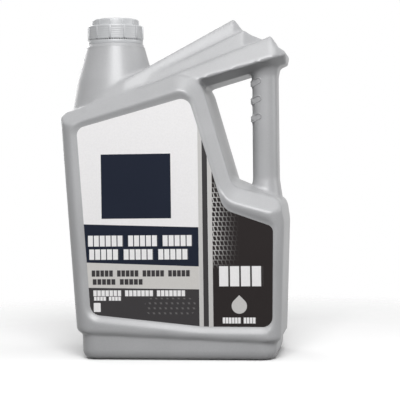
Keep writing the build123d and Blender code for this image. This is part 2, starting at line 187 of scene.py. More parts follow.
class StageSettings(bpy.types.PropertyGroup):
    """Camera and light of the studio."""

    camera_azimuth: FloatProperty(
        name="Camera azimuth", description="How far the camera stands to the handle's side",
        default=math.radians(8.67), subtype="ANGLE")
    camera_roll: FloatProperty(
        name="Camera roll", description="Tilt of the camera about its own axis",
        default=math.radians(-0.76), subtype="ANGLE")
    camera_distance: FloatProperty(
        name="Camera distance", description="Camera to the middle of the jug", default=1.218, unit="LENGTH")
    camera_height: FloatProperty(
        name="Camera height", description="Height of the lens over the floor", default=0.1687, unit="LENGTH")
    camera_lens: FloatProperty(
        name="Lens", description="Focal length for a 36 mm frame", default=114.5, unit="CAMERA")
    camera_target: FloatVectorProperty(
        name="Camera target", description="Point that the camera looks at", size=3, subtype="TRANSLATION",
        default=(0.0196, 0.0, 0.1464))


class ShaderTree:
    """Short calls that add nodes to a material's or a group's tree."""

    ROW_LENGTH = 12
    NODE_STEP = (190, -230)

    def __init__(self, tree):
        self.tree = tree
        self.count = 0

    def node(self, kind, **settings):
        made = self.tree.nodes.new(kind)
        row, column = divmod(self.count, self.ROW_LENGTH)
        made.location = (self.NODE_STEP[0] * column, self.NODE_STEP[1] * row)
        self.count += 1
        for key, value in settings.items():
            setattr(made, key, value)
        return made

    def link(self, source, target):
        self.tree.links.new(source, target)

    def feed(self, socket, value):
        if isinstance(value, bpy.types.NodeSocket):
            self.link(value, socket)
        else:
            socket.default_value = value

    def math(self, operation, first, second=None, third=None, clamp=False):
        made = self.node("ShaderNodeMath", operation=operation, use_clamp=clamp)
        for socket, value in zip(made.inputs, (first, second, third)):
            if value is not None:
                self.feed(socket, value)
        return made.outputs[0]

    def mix(self, factor, first, second, blend="MIX"):
        made = self.node("ShaderNodeMix", data_type="RGBA", blend_type=blend)
        sockets = {socket.identifier: socket for socket in made.inputs}
        self.feed(sockets["Factor_Float"], factor)
        self.feed(sockets["A_Color"], first)
        self.feed(sockets["B_Color"], second)
        return next(socket for socket in made.outputs if socket.identifier == "Result_Color")

    def ramp(self, value, low, high):
        made = self.node("ShaderNodeMapRange")
        self.feed(made.inputs["Value"], value)
        made.inputs["From Min"].default_value = low[0]
        made.inputs["From Max"].default_value = high[0]
        made.inputs["To Min"].default_value = low[1]
        made.inputs["To Max"].default_value = high[1]
        return made.outputs["Result"]

    def noise(self, vector, scale, detail=2.0, distortion=0.0):
        made = self.node("ShaderNodeTexNoise")
        self.feed(made.inputs["Vector"], vector)
        self.feed(made.inputs["Scale"], scale)
        made.inputs["Detail"].default_value = detail
        made.inputs["Distortion"].default_value = distortion
        return made.outputs["Fac"]

    def bump(self, height, strength, distance):
        made = self.node("ShaderNodeBump")
        made.inputs["Strength"].default_value = strength
        made.inputs["Distance"].default_value = distance
        self.link(height, made.inputs["Height"])
        return made.outputs["Normal"]

    def axes(self, vector):
        made = self.node("ShaderNodeSeparateXYZ")
        self.link(vector, made.inputs[0])
        return made.outputs

    def use(self, group, **values):
        made = self.node("ShaderNodeGroup", node_tree=group)
        for key, value in values.items():
            self.feed(made.inputs[key.replace("_", " ")], value)
        return made.outputs


def new_material(name):
    """Node material with a Principled shader on its output, and the helper of its tree."""
    material = bpy.data.materials.new(name)
    material.use_nodes = True
    material.node_tree.nodes.clear()
    tree = ShaderTree(material.node_tree)
    shader = tree.node("ShaderNodeBsdfPrincipled")
    output = tree.node("ShaderNodeOutputMaterial")
    tree.link(shader.outputs["BSDF"], output.inputs["Surface"])
    return material, tree, shader.inputs


def new_group(name, inputs, outputs):
    """Shader node group of float sockets; an input whose default is None takes a vector."""
    group = bpy.data.node_groups.new(name, "ShaderNodeTree")
    for title, default in inputs.items():
        kind = "NodeSocketVector" if default is None else "NodeSocketFloat"
        socket = group.interface.new_socket(name=title, in_out="INPUT", socket_type=kind)
        if default is not None:
            socket.default_value = default
    for title in outputs:
        group.interface.new_socket(name=title, in_out="OUTPUT", socket_type="NodeSocketFloat")
    tree = ShaderTree(group)
    given = tree.node("NodeGroupInput").outputs
    out = tree.node("NodeGroupOutput").inputs
    return group, tree, given, out


def moulded_grain_group():
    """Satin grain, slow flow marks and uneven gloss of moulded plastic."""
    inputs = {"Vector": None, "Grain Scale": 1400.0, "Flow Scale": 16.0}
    group, tree, given, out = new_group("Moulded grain", inputs, ("Tone", "Gloss", "Height"))
    grain = tree.noise(given["Vector"], given["Grain Scale"], detail=3.0)
    flow = tree.noise(given["Vector"], given["Flow Scale"], detail=4.0, distortion=0.6)
    tone = tree.ramp(flow, (0.3, 0.94), (0.7, 1.05))
    fleck = tree.ramp(grain, (0.35, 0.96), (0.65, 1.04))
    tree.link(tree.math("MULTIPLY", tone, fleck), out["Tone"])
    tree.link(tree.ramp(flow, (0.3, -0.04), (0.7, 0.05)), out["Gloss"])
    grain_height, flow_height = 0.14, 0.6
    waves = tree.math("MULTIPLY", flow, flow_height)
    tree.link(tree.math("MULTIPLY_ADD", grain, grain_height, waves), out["Height"])
    return group


def soft_step(tree, distance, edge):
    """Mask that is full where a distance is above nought, with a soft printed edge."""
    return tree.math("ADD", tree.math("DIVIDE", distance, edge), 0.5, clamp=True)


def rounded_field_group():
    """Mask of a rounded rectangle in the label's plane."""
    inputs = {"X": 0.0, "Z": 0.0, "Centre X": 0.0, "Centre Z": 0.0, "Half Width": 1.0, "Half Height": 1.0,
              "Corner": 0.0, "Edge": 0.25}
    group, tree, given, out = new_group("Rounded field", inputs, ("Mask",))
    away = []
    for axis, centre, half in (("X", "Centre X", "Half Width"), ("Z", "Centre Z", "Half Height")):
        offset = tree.math("ABSOLUTE", tree.math("SUBTRACT", given[axis], given[centre]))
        away.append(tree.math("SUBTRACT", offset, tree.math("SUBTRACT", given[half], given["Corner"])))
    outside = [tree.math("MAXIMUM", value, 0.0) for value in away]
    squares = [tree.math("MULTIPLY", value, value) for value in outside]
    length = tree.math("SQRT", tree.math("ADD", squares[0], squares[1]))
    inside = tree.math("MINIMUM", tree.math("MAXIMUM", away[0], away[1]), 0.0)
    inward = tree.math("SUBTRACT", given["Corner"], tree.math("ADD", length, inside))
    tree.link(soft_step(tree, inward, given["Edge"]), out["Mask"])
    return group


def block_row_group():
    """Mask of a row of plain upright blocks with even gaps."""
    inputs = {"X": 0.0, "Z": 0.0, "Start": 0.0, "Count": 4.0, "Pitch": 5.0, "Gap": 1.0, "Middle": 0.0,
              "Half Height": 3.0, "Edge": 0.3}
    group, tree, given, out = new_group("Block row", inputs, ("Mask",))
    along = tree.math("SUBTRACT", given["X"], given["Start"])
    full = tree.math("MULTIPLY", given["Count"], given["Pitch"])
    share = tree.math("FRACT", tree.math("DIVIDE", along, given["Pitch"]))
    cell = tree.math("MULTIPLY", share, given["Pitch"])
    solid = tree.math("SUBTRACT", given["Pitch"], given["Gap"])
    upright = tree.math("ABSOLUTE", tree.math("SUBTRACT", given["Z"], given["Middle"]))
    mask = soft_step(tree, tree.math("SUBTRACT", given["Half Height"], upright), given["Edge"])
    for distance in (along, tree.math("SUBTRACT", full, along), tree.math("SUBTRACT", solid, cell), cell):
        mask = tree.math("MULTIPLY", mask, soft_step(tree, distance, given["Edge"]))
    tree.link(mask, out["Mask"])
    return group


def slanted_mesh_group():
    """Mask of the wires of a mesh whose cells lean, each row set off by half a cell."""
    inputs = {"X": 0.0, "Z": 0.0, "Pitch X": 4.0, "Pitch Z": 5.0, "Lean": 0.35, "Wire": 0.2}
    group, tree, given, out = new_group("Slanted mesh", inputs, ("Wire",))
    row = tree.math("DIVIDE", given["Z"], given["Pitch Z"])
    shift = tree.math("FRACT", tree.math("MULTIPLY", tree.math("FLOOR", row), 0.5))
    column = tree.math("ADD", tree.math("DIVIDE", given["X"], given["Pitch X"]), shift)
    column = tree.math("MULTIPLY_ADD", row, given["Lean"], column)
    apart = []
    for value in (column, row):
        apart.append(tree.math("ABSOLUTE", tree.math("SUBTRACT", tree.math("FRACT", value), 0.5)))
    row_share, row_start, wire_edge = 0.85, 0.02, 0.12
    distance = tree.math("MAXIMUM", apart[0], tree.math("MULTIPLY_ADD", apart[1], row_share, row_start))
    hole = tree.math("SUBTRACT", 0.5, given["Wire"])
    tree.link(soft_step(tree, tree.math("SUBTRACT", distance, hole), wire_edge), out["Wire"])
    return group


def moulded_plastic(name, colour, roughness, grain_scale, with_seam=False):
    """Silver-grey moulded plastic, with the mould's parting line where the piece has one."""
    material, tree, shader = new_material(name)
    place = tree.node("ShaderNodeTexCoord").outputs["Object"]
    grain = tree.use(bpy.data.node_groups["Moulded grain"], Vector=place, Grain_Scale=grain_scale)
    tree.link(tree.mix(1.0, colour, grain["Tone"], blend="MULTIPLY"), shader["Base Color"])
    tree.link(tree.math("ADD", grain["Gloss"], roughness), shader["Roughness"])
    shader["Metallic"].default_value = PLASTIC_METALLIC
    height = grain["Height"]
    if with_seam:
        from_middle = tree.math("ABSOLUTE", tree.axes(place)["Y"])
        seam_height = 0.5
        seam = tree.ramp(from_middle, (0.15 * MM, 1.0), (0.45 * MM, 0.0))
        height = tree.math("MULTIPLY_ADD", seam, seam_height, height)
    tree.link(tree.bump(height, strength=0.25, distance=0.5 * MM), shader["Normal"])
    return material


def liner_foam():
    """Closed-cell foam of the sealing disc."""
    finish = bpy.context.scene.jug_finish
    material, tree, shader = new_material("liner_foam")
    place = tree.node("ShaderNodeTexCoord").outputs["Object"]
    cells = tree.noise(place, scale=900.0, detail=4.0)
    tone = tree.ramp(cells, (0.3, 0.9), (0.7, 1.04))
    tree.link(tree.mix(1.0, finish.liner, tone, blend="MULTIPLY"), shader["Base Color"])
    tree.link(tree.ramp(cells, (0.3, 0.7), (0.7, 0.85)), shader["Roughness"])
    tree.link(tree.bump(cells, strength=0.3, distance=0.3 * MM), shader["Normal"])
    return material


class LabelPrint:
    """Printed film of the front label, laid out in millimetres across X and up Z.

    A stripe has its middle, half width and ink. A band level has its height and slope.
    A square has its centre and half sides.
    A row of blocks has its middle, half height, start, pitch and the blocks of each group.
    """

    FILM_SPECULAR = 0.1
    INK_EDGE = 0.25
    STRIPES_LEFT = 25.0
    STRIPES = ((26.9, 1.75, "silver"), (31.25, 2.45, "charcoal"), (35.8, 1.9, "silver"))
    PANEL_LEFT = 37.7
    PANEL_MESH = (3.6, 4.4, 0.12)
    SHINE_ACROSS = (39.7, 64.0)
    SHINE_UP = (150.0, 168.0)
    SHINE_DOWN = (100.0, 84.0)
    FLECK_MESH = (5.2, 4.6, 0.33)
    FLECK_FIELD = (-2.0, 50.0, 24.0, 8.0)
    FLECK_CORNER = 8.0
    FLECK_STRENGTH = 0.16
    BAND_LEVELS = ((66.5, -0.015), (88.6, -0.037), (124.3, -0.032))
    BAND_MIDDLE = -30.0
    SQUARE = (-32.6, 160.6, 32.5, 29.7)
    SMALL_SQUARE = (-70.4, 49.0, 3.25, 4.2)
    DROP_CENTRE = (61.7, 50.4)
    DROP_RADIUS = 7.0
    SMALL_CORNER = 0.6
    BLOCK_GAP = 0.16
    GROUP_SPACE = 0.8
    HEADLINE_ROWS = ((110.4, 5.0, -78.2, 5.55, (6, 5, 5)), (97.9, 4.8, -77.2, 5.58, (5, 5, 5)))
    NOTE_ROWS = ((80.4, 2.9, -75.2, 4.12, (5, 5, 5, 5)), (72.6, 2.6, -74.3, 4.4, (5, 5)))
    FOOT_ROWS = ((62.1, 2.7, -73.9, 3.82, (7, 7, 7)), (57.1, 1.8, -73.3, 2.92, (4, 4)))
    GRADE_ROWS = ((77.6, 9.2, 43.5, 10.0, (4,)), (37.2, 2.7, 46.3, 2.82, (6, 4)))
    FAR = 400.0

    def __init__(self):
        self.finish = bpy.context.scene.jug_finish
        self.material, self.tree, self.shader = new_material("label_film")
        self.place = self.tree.node("ShaderNodeTexCoord").outputs["Object"]
        axes = self.tree.axes(self.place)
        self.x = self.tree.math("DIVIDE", axes["X"], MM)
        self.z = self.tree.math("DIVIDE", axes["Z"], MM)
        self.colour = self.finish.film

    def lay(self, mask, colour):
        """Print a colour over what is there."""
        self.colour = self.tree.mix(mask, self.colour, colour)

    def field(self, centre_x, centre_z, half_width, half_height, corner=0.0):
        group = bpy.data.node_groups["Rounded field"]
        return self.tree.use(group, X=self.x, Z=self.z, Centre_X=centre_x, Centre_Z=centre_z,
                             Half_Width=half_width, Half_Height=half_height, Corner=corner)["Mask"]

    def band(self, low, high):
        """Field from the label's left edge to the stripes, between two lines that each have a slope."""
        mask = soft_step(self.tree, self.tree.math("SUBTRACT", self.STRIPES_LEFT, self.x), self.INK_EDGE)
        over = self.tree.math("SUBTRACT", self.x, self.BAND_MIDDLE)
        for (level, slope), sign in ((low, 1.0), (high, -1.0)):
            above = self.tree.math("SUBTRACT", self.z, self.tree.math("MULTIPLY_ADD", over, slope, level))
            side = soft_step(self.tree, self.tree.math("MULTIPLY", above, sign), self.INK_EDGE)
            mask = self.tree.math("MULTIPLY", mask, side)
        return mask

    def rows(self, rows, colour):
        """Print groups of plain blocks along each row."""
        group = bpy.data.node_groups["Block row"]
        for middle, half_height, start, pitch, counts in rows:
            gap = self.BLOCK_GAP * pitch
            for count in counts:
                mask = self.tree.use(group, X=self.x, Z=self.z, Start=start, Count=count, Pitch=pitch,
                                     Gap=gap, Middle=middle, Half_Height=half_height)["Mask"]
                self.lay(mask, colour)
                start += (count + self.GROUP_SPACE) * pitch

    def mesh(self, pitch_x, pitch_z, wire):
        group = bpy.data.node_groups["Slanted mesh"]
        return self.tree.use(group, X=self.x, Z=self.z, Pitch_X=pitch_x, Pitch_Z=pitch_z,
                             Wire=wire)["Wire"]

    def fade(self, axis, full, none):
        return self.tree.ramp(axis, (full, 1.0), (none, 0.0))

    def print_fields(self):
        foot, note, headline = self.BAND_LEVELS
        self.lay(self.field(*self.SQUARE), self.finish.navy)
        self.lay(self.band(note, headline), self.finish.navy)
        self.lay(self.band(foot, note), self.finish.grey)
        self.lay(self.band((-self.FAR, 0.0), foot), self.finish.charcoal)
        flecks = self.tree.math("SUBTRACT", 1.0, self.mesh(*self.FLECK_MESH))
        place = self.field(*self.FLECK_FIELD, corner=self.FLECK_CORNER)
        flecks = self.tree.math("MULTIPLY", flecks, place)
        self.lay(self.tree.math("MULTIPLY", flecks, self.FLECK_STRENGTH), self.finish.silver)

    def print_panel(self):
        half = self.FAR / 2
        panel = self.field(self.PANEL_LEFT + half, 0.0, half, self.FAR)
        self.lay(panel, self.finish.panel)
        across = self.fade(self.x, *self.SHINE_ACROSS)
        shine = self.tree.math("MULTIPLY", across, across)
        for part in (self.fade(self.z, *self.SHINE_UP), self.fade(self.z, *self.SHINE_DOWN), panel):
            shine = self.tree.math("MULTIPLY", shine, part)
        self.lay(self.tree.math("MULTIPLY", self.mesh(*self.PANEL_MESH), shine), self.finish.silver)
        for centre, half_width, ink in self.STRIPES:
            self.lay(self.field(centre, 0.0, half_width, self.FAR), getattr(self.finish, ink))

    def print_drop(self):
        """A plain drop: a disc and a square corner that stands on it."""
        radius = self.DROP_RADIUS
        centre_x, centre_z = self.DROP_CENTRE
        disc = self.field(centre_x, centre_z, radius, radius, corner=radius)
        over = self.tree.math("SUBTRACT", self.x, centre_x)
        up = self.tree.math("SUBTRACT", self.z, centre_z)
        turn = math.sqrt(0.5)
        first = self.tree.math("MULTIPLY", self.tree.math("ADD", up, over), turn)
        second = self.tree.math("MULTIPLY", self.tree.math("SUBTRACT", up, over), turn)
        half = radius / 2
        corner = self.tree.use(bpy.data.node_groups["Rounded field"], X=first, Z=second, Centre_X=half,
                               Centre_Z=half, Half_Width=half, Half_Height=half)["Mask"]
        self.lay(self.tree.math("MAXIMUM", disc, corner), self.finish.silver)

    def make(self):
        self.print_fields()
        self.print_panel()
        self.rows(self.HEADLINE_ROWS, self.finish.film)
        self.rows(self.NOTE_ROWS, self.finish.charcoal)
        self.rows(self.FOOT_ROWS, self.finish.film)
        self.rows(self.GRADE_ROWS, self.finish.film)
        self.lay(self.field(*self.SMALL_SQUARE, corner=self.SMALL_CORNER), self.finish.film)
        self.print_drop()
        tree = self.tree
        speckle = tree.noise(self.place, scale=700.0)
        tone = tree.ramp(speckle, (0.3, 0.975), (0.7, 1.02))
        tree.link(tree.mix(1.0, self.colour, tone, blend="MULTIPLY"), self.shader["Base Color"])
        wave = tree.noise(self.place, scale=28.0)
        tree.link(tree.ramp(wave, (0.3, 0.32), (0.7, 0.42)), self.shader["Roughness"])
        tree.link(tree.bump(wave, strength=0.06, distance=1.0 * MM), self.shader["Normal"])
        self.shader["Specular IOR Level"].default_value = self.FILM_SPECULAR
        return self.material


def finish_piece(name, bm, material, body, sharp_angle=40.0):
    """Turn a bmesh into a smooth-shaded piece that rides on a body."""
    mesh = bpy.data.meshes.new(name)
    bm.to_mesh(mesh)
    bm.free()
    piece = bpy.data.objects.new(name, mesh)
    bpy.context.scene.collection.objects.link(piece)
    mesh.shade_smooth()
    mesh.set_sharp_from_angle(angle=math.radians(sharp_angle))
    mesh.materials.append(material)
    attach(piece, body)
    return piece


def lathe(bm, profile, steps, closed=False):
    """Spin a profile of radii and heights about the neck's axis."""
    verts = [bm.verts.new((NECK_X + radius, 0.0, z)) for radius, z in profile]
    edges = [bm.edges.new(pair) for pair in zip(verts, verts[1:])]
    if closed:
        edges.append(bm.edges.new((verts[-1], verts[0])))
    before = set(bm.faces)
    bmesh.ops.spin(bm, geom=verts + edges, cent=(NECK_X, 0, 0), axis=(0, 0, 1), angle=FULL_TURN,
                   steps=steps, use_merge=True, use_duplicate=False)
    return [face for face in bm.faces if face not in before]


def round_edge(centre_radius, centre_z, radius, start, end, count=4):
    """Points of a round in a profile, between two angles from the outward direction."""
    points = []
    for index in range(count + 1):
        angle = math.radians(start + (end - start) * index / count)
        points.append((centre_radius + radius * math.cos(angle), centre_z + radius * math.sin(angle)))
    return points


def thread(bm, root, crest, low, sizes):
    """Screw thread between a root and a crest radius, rising from a height."""
    foot_share, tip_share = 0.22, 0.08
    foot = foot_share * sizes.thread_lead
    tip = tip_share * sizes.thread_lead
    profile = ((root, low - foot), (crest, low - tip), (crest, low + tip), (root, low + foot))
    verts = [bm.verts.new((NECK_X + radius, 0.0, z)) for radius, z in profile]
    first = bm.faces.new(verts)
    steps = int(sizes.thread_turns * sizes.turn_steps / 2)
    rise = sizes.thread_lead * sizes.thread_turns / steps
    before = set(bm.faces)
    spun = bmesh.ops.spin(bm, geom=verts + list(first.edges), cent=(NECK_X, 0, 0), axis=(0, 0, 1),
                          dvec=(0, 0, rise), angle=FULL_TURN * sizes.thread_turns, steps=steps,
                          use_duplicate=False)
    ends = [item for item in spun["geom_last"] if isinstance(item, bmesh.types.BMEdge)]
    bmesh.ops.edgeloop_fill(bm, edges=ends)
    made = [face for face in bm.faces if face not in before] + [first]
    bmesh.ops.recalc_face_normals(bm, faces=made)


def turned_block(bm, inner, outer, width, low, high, angle, bevel=0.0):
    """Small block that stands on a radius, turned about the neck's axis."""
    verts = bmesh.ops.create_cube(bm, size=1.0)["verts"]
    bmesh.ops.scale(bm, verts=verts, vec=(outer - inner, width, high - low))
    bmesh.ops.translate(bm, verts=verts, vec=((inner + outer) / 2, 0, (low + high) / 2))
    bmesh.ops.rotate(bm, verts=verts, cent=(0, 0, 0), matrix=Matrix.Rotation(angle, 3, "Z"))
    bmesh.ops.translate(bm, verts=verts, vec=(NECK_X, 0, 0))
    if bevel > 0:
        edges = list({edge for vert in verts for edge in vert.link_edges})
        bmesh.ops.bevel(bm, geom=edges, offset=bevel, offset_type="OFFSET", segments=2, profile=0.5,
                        affect="EDGES", material=-1)


def bead(bm, path, radius, sides=6):
    """Thin round bead along a path of points."""
    rings = []
    for index, point in enumerate(path):
        ahead = path[min(index + 1, len(path) - 1)] - path[max(index - 1, 0)]
        turn = ahead.to_track_quat("Z", "Y")
        ring = []
        for step in range(sides):
            angle = FULL_TURN * step / sides
            offset = Vector((radius * math.cos(angle), radius * math.sin(angle), 0))
            ring.append(bm.verts.new(point + turn @ offset))
        rings.append(ring)
    faces = [bm.faces.new(rings[0]), bm.faces.new(rings[-1])]
    for first, second in zip(rings, rings[1:]):
        for step in range(sides):
            after = (step + 1) % sides
            faces.append(bm.faces.new((first[step], first[after], second[after], second[step])))
    bmesh.ops.recalc_face_normals(bm, faces=faces)


def close_turned(bm):
    """Merge the poles and seams of a turned piece and point its faces outwards."""
    bmesh.ops.remove_doubles(bm, verts=bm.verts, dist=MERGE_DISTANCE)
    bmesh.ops.recalc_face_normals(bm, faces=bm.faces)


def cut_neck(bm, height):
    """Cut the neck off at a height, and leave the arm beside it whole."""
    verts = {vert for vert in bm.verts if math.hypot(vert.co.x - NECK_X, vert.co.y) < NECK_REACH}
    edges = [edge for edge in bm.edges if all(vert in verts for vert in edge.verts)]
    faces = [face for face in bm.faces if all(vert in verts for vert in face.verts)]
    bmesh.ops.bisect_plane(bm, geom=list(verts) + edges + faces, plane_co=(0, 0, height), plane_no=(0, 0, 1),
                           clear_outer=True)


def mark_skins(bm):
    """Give each connected skin's faces their own material index, and return how many there are."""
    seen = set()
    count = 0
    for start in bm.faces:
        if start in seen:
            continue
        seen.add(start)
        stack = [start]
        while stack:
            face = stack.pop()
            face.material_index = count
            for edge in face.edges:
                for other in edge.link_faces:
                    if other not in seen:
                        seen.add(other)
                        stack.append(other)
        count += 1
    return count


def only_skin(bm, index):
    """Delete all faces but one skin's."""
    drop = [face for face in bm.faces if face.material_index != index]
    bmesh.ops.delete(bm, geom=drop, context="FACES")
    for face in bm.faces:
        face.material_index = 0


def softened_shell(bm, grain, passes):
    """Close a skin over the neck, remesh it evenly and round its edges."""
    rim = [edge for edge in bm.edges if edge.is_boundary]
    raised = bmesh.ops.extrude_edge_only(bm, edges=rim)["geom"]
    lifted = [item for item in raised if isinstance(item, bmesh.types.BMVert)]
    bmesh.ops.translate(bm, verts=lifted, vec=(0, 0, RIM_LIFT))
    bmesh.ops.holes_fill(bm, edges=[edge for edge in bm.edges if edge.is_boundary])
    mesh = bpy.data.meshes.new("shell_work")
    bm.to_mesh(mesh)
    bm.free()
    work = bpy.data.objects.new("shell_work", mesh)
    bpy.context.scene.collection.objects.link(work)
    remesh = work.modifiers.new("Even cells", "REMESH")
    remesh.mode = "VOXEL"
    remesh.voxel_size = grain
    graph = bpy.context.evaluated_depsgraph_get()
    even = bpy.data.meshes.new_from_object(work.evaluated_get(graph))
    bpy.data.objects.remove(work)
    soft = bmesh.new()
    soft.from_mesh(even)
    bpy.data.meshes.remove(mesh)
    bpy.data.meshes.remove(even)
    for _ in range(passes):
        bmesh.ops.smooth_vert(soft, verts=soft.verts, factor=0.5, use_axis_x=True, use_axis_y=True,
                              use_axis_z=True)
    return soft


class JUG_OT_moulding(bpy.types.Operator):
    """Soft blown shell with its threaded neck"""

    bl_idname = "jug.moulding"
    bl_label = "Jug moulding"

    BEAD_FOOT = 0.3 * MM
    BEAD_EDGE = 0.4 * MM
    LIP_DROP = 0.8 * MM
    LIP_EDGE = 0.6 * MM
    MOUTH_EDGE = 0.5 * MM
    THREAD_START = 1.6 * MM
    SHARP_ANGLE = 75.0

    def execute(self, context):
        sizes = context.scene.jug_sizes
        neck_foot = BEAD_TOP_Z - sizes.bead_height
        outer = bmesh.new()
        outer.from_mesh(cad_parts["bottle"].data)
        bmesh.ops.remove_doubles(outer, verts=outer.verts, dist=MERGE_DISTANCE)
        cut_neck(outer, neck_foot - NECK_LAP)
        if mark_skins(outer) != 2:
            raise RuntimeError("the jug's outer and inner skins are not apart")
        lowest = min(outer.faces, key=lambda face: face.calc_center_median().z).material_index
        inner = outer.copy()
        only_skin(outer, lowest)
        only_skin(inner, 1 - lowest)
        shell = softened_shell(outer, sizes.shell_grain, sizes.shell_softening)
        cut_neck(shell, neck_foot)
        inner_mesh = bpy.data.meshes.new("inner_skin")
        inner.to_mesh(inner_mesh)
        inner.free()
        shell.from_mesh(inner_mesh)
        bpy.data.meshes.remove(inner_mesh)
        self.add_neck(shell, neck_foot, sizes)
        self.add_loops(shell, sizes)
        finish = context.scene.jug_finish
        plastic = moulded_plastic("jug_plastic", finish.plastic, roughness=0.38, grain_scale=1400.0,
                                  with_seam=True)
        piece = finish_piece("jug_moulding", shell, plastic, "jug",
                             sharp_angle=self.SHARP_ANGLE)
        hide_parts("bottle")
        return {"FINISHED"}

    def loop_outline(self, centre_z, sizes, count=40):
        """Points across X and up Z of a leaning slot at the grip's inner edge."""
        centre_x = GRIP_X - LOOP_PROUD + sizes.loop_length / 2
        round_end = sizes.loop_height / 2
        straight = sizes.loop_length / 2 - round_end
        lean = Matrix.Rotation(LOOP_LEAN, 2)
        points = []
        for index in range(count):
            angle = FULL_TURN * (index + 0.5) / count - math.pi
            shift = math.copysign(straight, math.cos(angle))
            spot = lean @ Vector((shift + round_end * math.cos(angle), round_end * math.sin(angle)))
            points.append((centre_x + spot.x, centre_z + spot.y))
        return points

    def add_loops(self, shell, sizes):
        """Raised beads round the ends of the finger ribs, laid on the grip's front and back."""
        surface = BVHTree.FromBMesh(shell)
        for index in range(sizes.loop_count):
            outline = self.loop_outline(LOOP_FIRST_Z + index * LOOP_PITCH, sizes)
            for side in (-1.0, 1.0):
                path = []
                for x, z in outline:
                    start = Vector((x, side * RAY_START, z))
                    hit = surface.ray_cast(start, Vector((0, -side, 0)), RAY_START)[0]
                    if hit is not None:
                        path.append(hit)
                bead(shell, path, sizes.loop_bead)

    def add_neck(self, shell, neck_foot, sizes):
        rim = [vert for vert in shell.verts if abs(vert.co.z - neck_foot) < LEVEL_TOLERANCE]
        cone_top = max(math.hypot(vert.co.x - NECK_X, vert.co.y) for vert in rim)
        profile = [
            (cone_top, neck_foot),
            (sizes.bead_radius, neck_foot + self.BEAD_FOOT),
            (sizes.bead_radius, BEAD_TOP_Z - self.BEAD_EDGE),
            (sizes.bead_radius - self.BEAD_EDGE, BEAD_TOP_Z),
            (sizes.neck_radius, BEAD_TOP_Z),
            (sizes.neck_radius, MOUTH_Z - self.LIP_DROP),
            (sizes.neck_radius - self.LIP_EDGE, MOUTH_Z),
            (sizes.neck_bore + self.MOUTH_EDGE, MOUTH_Z),
            (sizes.neck_bore, MOUTH_Z - self.MOUTH_EDGE),
            (sizes.neck_bore, neck_foot - NECK_LAP),
        ]
        faces = lathe(shell, profile, sizes.turn_steps)
        bmesh.ops.recalc_face_normals(shell, faces=faces)
        crest = sizes.neck_radius + sizes.thread_depth
        thread(shell, sizes.neck_radius - THREAD_SINK, crest, SKIRT_Z + self.THREAD_START, sizes)


